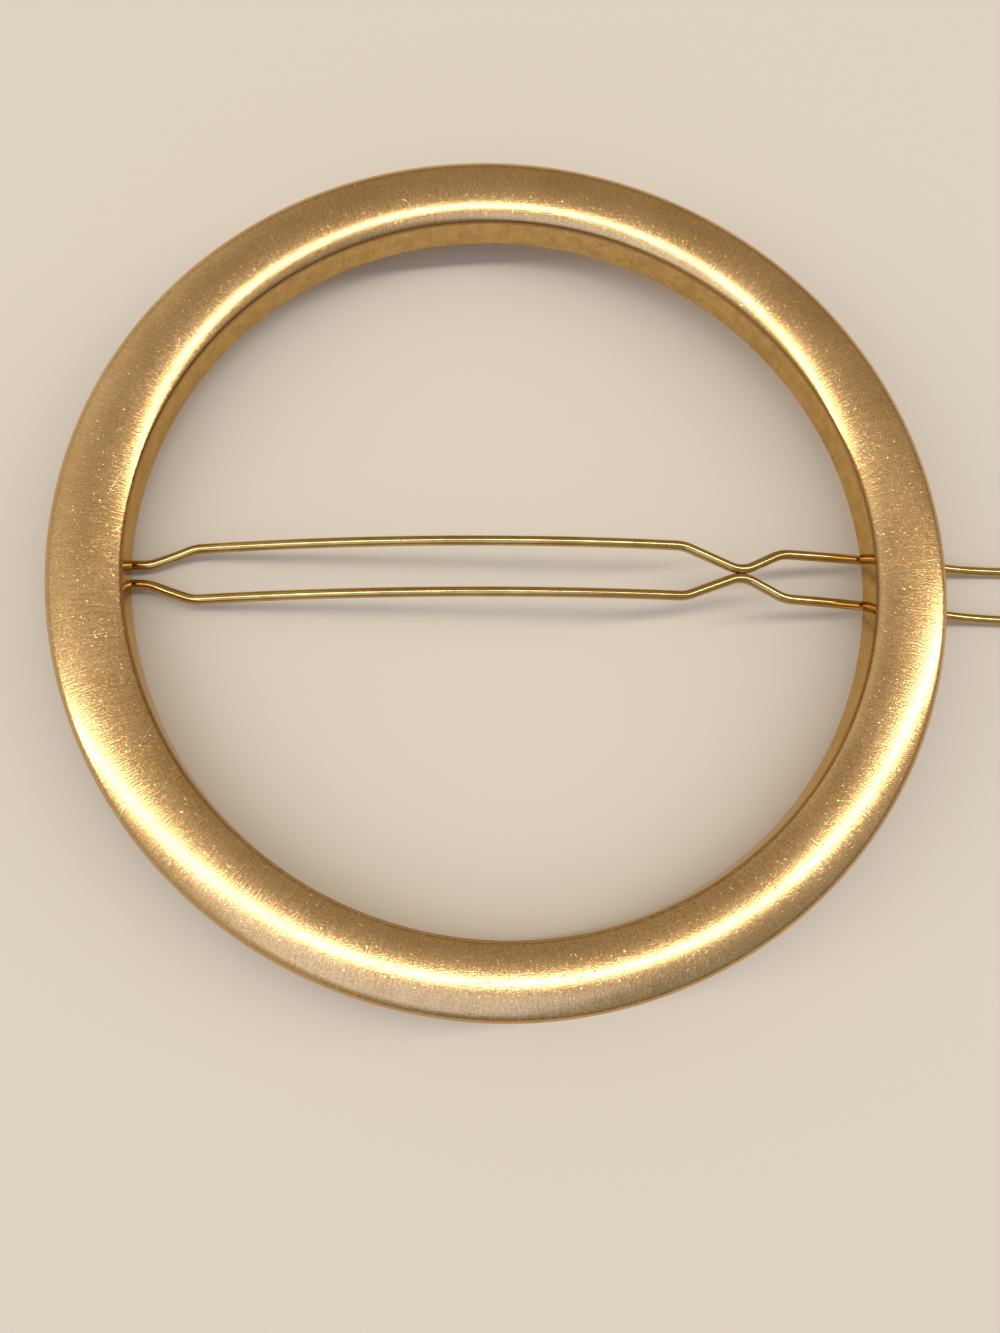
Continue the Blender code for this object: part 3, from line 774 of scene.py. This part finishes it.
def make_brushing_group():
    """Fine brush lines that run across the band, for a place measured from the ring's axis."""
    inputs = [("Vector", "Vector", None), ("Spacing", "Float", 0.0001), ("Length", "Float", 0.002)]
    tree, source, result = start_group("brushed_lines", inputs, [("Height", "Float")])
    flat, radius = measure_from_axis(tree, source["Vector"])[1:]
    outward = calculate_vector(tree, "NORMALIZE", flat)["Vector"]
    round_way = add_node(tree, "ShaderNodeVectorMath", {0: outward, "Scale": RING_OUTER_RADIUS},
                         operation="SCALE").outputs["Vector"]
    shortening = calculate(tree, "DIVIDE", source["Spacing"], source["Length"])
    across = calculate(tree, "MULTIPLY", radius, shortening)
    lift = add_node(tree, "ShaderNodeCombineXYZ", {"Z": across}).outputs[0]
    joined = calculate_vector(tree, "ADD", round_way, lift)["Vector"]
    lines = add_noise(tree, joined, calculate(tree, "DIVIDE", 1.0, source["Spacing"]), 2.0, 0.6)
    tree.links.new(lines, result["Height"])
    return tree


def make_scratch_group():
    """Straight hairline scratches in one direction, seen from above, in a share of their cells."""
    inputs = [("Vector", "Vector", None), ("Length", "Float", 0.012), ("Spacing", "Float", 0.0016)]
    inputs += [("Turn", "Float", 0.6), ("Share", "Float", 0.5), ("Thickness", "Float", 0.05)]
    tree, source, result = start_group("hairline_scratches", inputs, [("Mask", "Float")])
    turned = add_node(tree, "ShaderNodeVectorRotate", {"Vector": source["Vector"], "Angle": source["Turn"]},
                      rotation_type="Z_AXIS").outputs["Vector"]
    parts = add_node(tree, "ShaderNodeSeparateXYZ", {0: turned}).outputs
    long_way = calculate(tree, "DIVIDE", parts["X"], source["Length"])
    short_way = calculate(tree, "DIVIDE", parts["Y"], source["Spacing"])
    joined = add_node(tree, "ShaderNodeCombineXYZ", {"X": long_way, "Y": short_way}).outputs[0]
    cells = add_node(tree, "ShaderNodeTexVoronoi", {"Vector": joined, "Scale": 1.0},
                     voronoi_dimensions="2D").outputs
    mark = fade(tree, cells["Distance"], source["Thickness"], 0.0)
    chance = add_node(tree, "ShaderNodeSeparateColor", {0: cells["Color"]}).outputs[0]
    kept = calculate(tree, "LESS_THAN", chance, source["Share"])
    tree.links.new(calculate(tree, "MULTIPLY", mark, kept), result["Mask"])
    return tree


def make_tone_group():
    """Slow changes of the plating's tone, from one colour to another in soft clouds."""
    inputs = [("Vector", "Vector", None), ("Cloud Size", "Float", 0.004)]
    inputs += [("Colour", "Color", (1, 1, 1, 1)), ("Second Colour", "Color", (1, 1, 1, 1))]
    tree, source, result = start_group("plating_tone", inputs, [("Colour", "Color"), ("Clouds", "Float")])
    frequency = calculate(tree, "DIVIDE", 1.0, source["Cloud Size"])
    clouds = fade(tree, add_noise(tree, source["Vector"], frequency, 4.0, 0.6), 0.35, 0.65)
    tree.links.new(mix_colours(tree, clouds, source["Colour"], source["Second Colour"]), result["Colour"])
    tree.links.new(clouds, result["Clouds"])
    return tree


def make_edge_wear_group():
    """Edges that wear bright: strongest where the surface turns sharply outward, broken up by grain."""
    inputs = [("Vector", "Vector", None), ("Start", "Float", 0.52), ("End", "Float", 0.60)]
    inputs += [("Breakup", "Float", 0.4)]
    tree, source, result = start_group("edge_wear", inputs, [("Mask", "Float")])
    turn = tree.nodes.new("ShaderNodeNewGeometry").outputs["Pointiness"]
    edge = fade(tree, turn, source["Start"], source["End"])
    breaks = add_noise(tree, source["Vector"], 1 / WEAR_BREAKUP_SIZE, 3.0, 0.7)
    kept = calculate(tree, "SUBTRACT", 1.0, calculate(tree, "MULTIPLY", breaks, source["Breakup"]))
    tree.links.new(calculate(tree, "MULTIPLY", edge, kept), result["Mask"])
    return tree


SATIN_GRAIN = make_satin_grain_group()
BRUSHING = make_brushing_group()
SCRATCHES = make_scratch_group()
PLATING_TONE = make_tone_group()
EDGE_WEAR = make_edge_wear_group()


def use_tones(tree, place, tones, cloud_size):
    """The plating's tone between two colours, and the clouds that it follows."""
    inputs = {"Vector": place, "Cloud Size": cloud_size, "Colour": tones[0], "Second Colour": tones[1]}
    return use_group(tree, PLATING_TONE, inputs)


def find_handling_marks(tree, place, across):
    """Scratches of several directions, close together on the hinge side and sparse elsewhere."""
    marks = 0.0
    for scratches in SATIN_SCRATCHES:
        found = use_group(tree, SCRATCHES, {"Vector": place, **scratches})["Mask"]
        marks = calculate(tree, "MAXIMUM", found, marks)
    return calculate(tree, "MULTIPLY", marks, fade(tree, across, *HANDLED_FADE, FEWEST_MARKS, 1.0))


def make_satin_gold():
    """The cover's finish: brushed satin on the dome and outer wall, polished on the inner rim and wall."""
    material, tree, shader, place = start_plating("satin_gold")
    parts, _, radius = measure_from_axis(tree, place)
    rim = fade(tree, radius, RING_INNER_RADIUS + RIM_FADE_END, RING_INNER_RADIUS + RIM_FADE_START)
    satin = calculate(tree, "SUBTRACT", 1.0, rim)
    shoulder_start = RING_OUTER_RADIUS - SHOULDER_FADE_START
    shoulder = fade(tree, radius, shoulder_start, RING_OUTER_RADIUS - SHOULDER_FADE_END)
    wall_top = INNER_WALL_HEIGHT - WALL_FADE_END
    above_wall = fade(tree, parts["Z"], INNER_WALL_HEIGHT - WALL_FADE_START, wall_top)
    grain = use_group(tree, SATIN_GRAIN, {"Vector": place, "Grain Size": SATIN_GRAIN_SIZE})
    brushing = {"Vector": place, "Spacing": BRUSH_LINE_SPACING, "Length": BRUSH_LINE_LENGTH}
    lines = use_group(tree, BRUSHING, brushing)["Height"]
    marks = find_handling_marks(tree, place, parts["X"])
    marks = calculate(tree, "MULTIPLY", marks, calculate(tree, "MULTIPLY", satin, above_wall))

    tone = use_tones(tree, place, SATIN_TONES, 0.005)
    # Partly painted reflection: the inner wall's darker, mottled tone.
    wall = use_tones(tree, place, WALL_TONES_AND_PAINTED_REFLECTION, 0.0012)
    # Painted shade: the crease above the inner wall is given a dark tone.
    wall_and_rim_shade = mix_colours(tree, above_wall, wall["Colour"], INNER_RIM_SHADE_TONE)
    shoulder_share = calculate(tree, "MULTIPLY", shoulder, SHOULDER_TONE_SHARE)
    # Painted shade: the satin darkens over the outer shoulder.
    satin_and_shoulder_shade = mix_colours(tree, shoulder_share, tone["Colour"], SHOULDER_SHADE_TONE)
    colour = mix_colours(tree, rim, satin_and_shoulder_shade, wall_and_rim_shade)
    shade = fade(tree, grain["Height"], 0.30, 0.70)
    shade = calculate(tree, "MULTIPLY_ADD", shade, GRAIN_SHADE, DARKEST_SHADE)
    shade = calculate(tree, "MULTIPLY_ADD", fade(tree, lines, 0.35, 0.65), LINE_SHADE, shade)
    grey = add_node(tree, "ShaderNodeCombineColor", {0: shade, 1: shade, 2: shade}).outputs[0]
    colour = mix_colours(tree, 1.0, colour, grey, "MULTIPLY")
    colour = mix_colours(tree, calculate(tree, "MULTIPLY", marks, MARK_TONE_SHARE), colour, MARK_TONE)
    tree.links.new(colour, shader.inputs["Base Color"])

    soft = calculate(tree, "MULTIPLY_ADD", grain["Height"], 0.12, 0.155)
    polished = calculate(tree, "MULTIPLY_ADD", wall["Clouds"], 0.06, 0.10)
    tree.links.new(mix_values(tree, rim, soft, polished), shader.inputs["Roughness"])
    tree.links.new(calculate(tree, "MULTIPLY", satin, 0.42), shader.inputs["Coat Weight"])
    shader.inputs["Coat Roughness"].default_value = 0.12

    height = calculate(tree, "MULTIPLY", lines, LINE_RELIEF)
    height = calculate(tree, "MULTIPLY_ADD", grain["Height"], GRAIN_RELIEF, height)
    height = calculate(tree, "MULTIPLY_ADD", grain["Facets"], FACET_RELIEF, height)
    relief_share = calculate(tree, "MULTIPLY_ADD", satin, 1 - POLISHED_RELIEF_SHARE, POLISHED_RELIEF_SHARE)
    height = calculate(tree, "MULTIPLY", height, relief_share)
    height = calculate(tree, "SUBTRACT", height, calculate(tree, "MULTIPLY", marks, MARK_RELIEF))
    raise_surface(tree, shader, height, 1.0, SATIN_RELIEF_HEIGHT)
    return material


def make_bright_gold():
    """The polished plating of the back plate, the bracket and the stud."""
    material, tree, shader, place = start_plating("bright_gold")
    marks = use_group(tree, SCRATCHES, {"Vector": place, **BRIGHT_SCRATCHES})["Mask"]
    tone = use_tones(tree, place, BRIGHT_TONES, 0.003)
    wear = use_group(tree, EDGE_WEAR, {"Vector": place})["Mask"]
    grain = use_group(tree, SATIN_GRAIN, {"Vector": place, "Grain Size": BRIGHT_GRAIN_SIZE})["Height"]
    wear = calculate(tree, "MULTIPLY", wear, 0.5)
    colour = mix_colours(tree, wear, tone["Colour"], RUBBED_EDGE_TONE)
    tree.links.new(colour, shader.inputs["Base Color"])
    rough = calculate(tree, "MULTIPLY_ADD", tone["Clouds"], 0.08, 0.14)
    rough = calculate(tree, "MULTIPLY_ADD", marks, 0.2, rough)
    tree.links.new(rough, shader.inputs["Roughness"])
    height = calculate(tree, "SUBTRACT", calculate(tree, "MULTIPLY", grain, 0.25), marks)
    raise_surface(tree, shader, height, 0.3, FINE_RELIEF_HEIGHT)
    return material


def make_spring_gold():
    """Drawn spring wire with warm plating: long fine lines along it, and a tone that darkens in places."""
    material, tree, shader, place = start_plating("spring_gold")
    along = add_node(tree, "ShaderNodeUVMap", uv_map="along").outputs["UV"]
    drawn = add_node(tree, "ShaderNodeMapping", {"Vector": along, "Scale": DRAWN_LINE_SCALE})
    lines = add_noise(tree, drawn.outputs["Vector"], DRAWN_LINES_ROUND, 3.0, 0.6)
    tone = use_tones(tree, place, SPRING_TONES, 0.0035)["Colour"]
    tree.links.new(tone, shader.inputs["Base Color"])
    rough = calculate(tree, "MULTIPLY_ADD", lines, 0.10, 0.08)
    tree.links.new(rough, shader.inputs["Roughness"])
    shader.inputs["Coat Weight"].default_value = 0.12
    shader.inputs["Coat Roughness"].default_value = 0.08
    raise_surface(tree, shader, lines, 0.3, FINE_RELIEF_HEIGHT)
    return material


def make_solder():
    """Plated solder, duller and paler than the sheet on each side of it."""
    material, tree, shader, place = start_plating("plated_solder")
    tone = use_tones(tree, place, SOLDER_TONES, 0.0008)
    tree.links.new(tone["Colour"], shader.inputs["Base Color"])
    tree.links.new(calculate(tree, "MULTIPLY_ADD", tone["Clouds"], 0.15, 0.32), shader.inputs["Roughness"])
    return material


# Studio.
def add_panel(name, facing, distance, size, radiance, colour):
    """A soft lamp, of a size (length, width), out along its own Z, that shines back with a radiance."""
    lamp = bpy.data.lights.new(name, "AREA")
    lamp.shape = "RECTANGLE"
    lamp.size, lamp.size_y = size
    lamp.energy = radiance * math.pi * size[0] * size[1]
    lamp.color = colour
    panel = bpy.data.objects.new(name, lamp)
    bpy.context.scene.collection.objects.link(panel)
    panel.matrix_world = Matrix.Translation(facing.col[2] * distance) @ facing.to_4x4()


def make_lamps():
    """A long strip arched over the clip from side to side, and a cool soft panel on the near side."""
    turn = math.radians(STRIP_TURN_DEGREES)
    side = Vector((math.cos(turn), math.sin(turn), 0))
    overhead = Vector((0, 0, 1))
    size = (2 * STRIP_DISTANCE * math.tan(math.radians(STRIP_PANEL_DEGREES / 2)), STRIP_WIDTH)
    for number in range(STRIP_PANELS):
        lean = math.radians(STRIP_PANEL_DEGREES * (number - (STRIP_PANELS - 1) / 2))
        away = overhead * math.cos(lean) + side * math.sin(lean)
        along = side * math.cos(lean) - overhead * math.sin(lean)
        facing = Matrix((along, away.cross(along), away)).transposed()
        add_panel("overhead_strip", facing, STRIP_DISTANCE, size, STRIP_RADIANCE, STRIP_COLOUR)
    facing = Vector(WINDOW_DIRECTION).normalized().to_track_quat("Z", "Y").to_matrix()
    add_panel("window_side", facing, WINDOW_DISTANCE, WINDOW_SIZE, WINDOW_RADIANCE, WINDOW_COLOUR)


def make_world():
    """Soft surroundings: dim low down, warm on the far side, pale to the left, cooler on the near side."""
    world = bpy.data.worlds.new("soft_surroundings")
    bpy.context.scene.world = world
    world.use_nodes = True
    tree = world.node_tree
    direction = tree.nodes.new("ShaderNodeTexCoord").outputs["Generated"]
    parts = add_node(tree, "ShaderNodeSeparateXYZ", {0: direction}).outputs
    far = fade(tree, parts["Y"], 0.10, 0.70)
    near = fade(tree, parts["Y"], -0.10, -0.60)
    left = fade(tree, parts["X"], -0.10, -0.70)
    low = fade(tree, parts["Z"], 0.28, 0.04)
    low = calculate(tree, "MULTIPLY", low, fade(tree, left, 0.0, 1.0, 1.0, 0.5))
    soft = mix_colours(tree, far, OVERHEAD_TONE, FAR_TONE)
    soft = mix_colours(tree, near, soft, NEAR_TONE)
    soft = mix_colours(tree, calculate(tree, "MULTIPLY", left, 0.9), soft, LEFT_TONE)
    soft = mix_colours(tree, low, soft, LOW_TONE)
    seen = tree.nodes.new("ShaderNodeLightPath").outputs["Is Camera Ray"]
    shown = mix_colours(tree, seen, soft, TABLE_COLOUR)
    tree.links.new(shown, tree.nodes["Background"].inputs["Color"])


def make_floor():
    """A plain pale table top that touches the bracket's ears and the finger loop."""
    ear_foot = bracket_low.z
    ear_x = (bracket_low.x + bracket_high.x) / 2
    loop_x = wire_high.x - WIRE_RADIUS
    slope = math.atan2(ear_foot - solids_low.z, loop_x - ear_x)
    shape = bmesh.new()
    bmesh.ops.create_grid(shape, x_segments=1, y_segments=1, size=TABLE_HALF_WIDTH)
    floor = add_piece("floor", mesh_from_shape("floor", shape))
    floor.rotation_euler = (0, slope, 0)
    floor.location = (loop_x, 0, solids_low.z)
    material, _, shader = start_material("pale_table")
    shader.inputs["Base Color"].default_value = TABLE_COLOUR
    shader.inputs["Roughness"].default_value = 0.85
    floor.data.materials.append(material)


def make_camera():
    view = bpy.data.cameras.new("camera")
    view.sensor_width = SENSOR_SIZE
    view.lens = FOCAL_LENGTH_IN_PIXELS / PHOTO_HEIGHT * SENSOR_SIZE
    view.clip_start = 0.001
    view.clip_end = 100
    camera = bpy.data.objects.new("camera", view)
    camera.location = CAMERA_PLACE
    camera.rotation_euler = [math.radians(turn) for turn in CAMERA_TURN_DEGREES]
    bpy.context.scene.collection.objects.link(camera)
    bpy.context.scene.camera = camera


satin_gold = make_satin_gold()
bright_gold = make_bright_gold()
spring_gold = make_spring_gold()
plated_solder = make_solder()
make_ring_cover(satin_gold)
make_back_plate(bright_gold)
make_seam_bead("inner_seam_solder", RING_INNER_RADIUS + COVER_SHEET + SOLDER_GAP / 2, plated_solder)
make_seam_bead("outer_seam_solder", RING_OUTER_RADIUS - COVER_SHEET - SOLDER_GAP / 2, plated_solder)
make_hinge_bracket(bright_gold)
make_catch_stud(bright_gold)
make_wire_loop(spring_gold)
make_floor()
make_lamps()
make_world()
make_camera()
bpy.context.scene.view_settings.view_transform = "Standard"

bpy.context.view_layer.update()
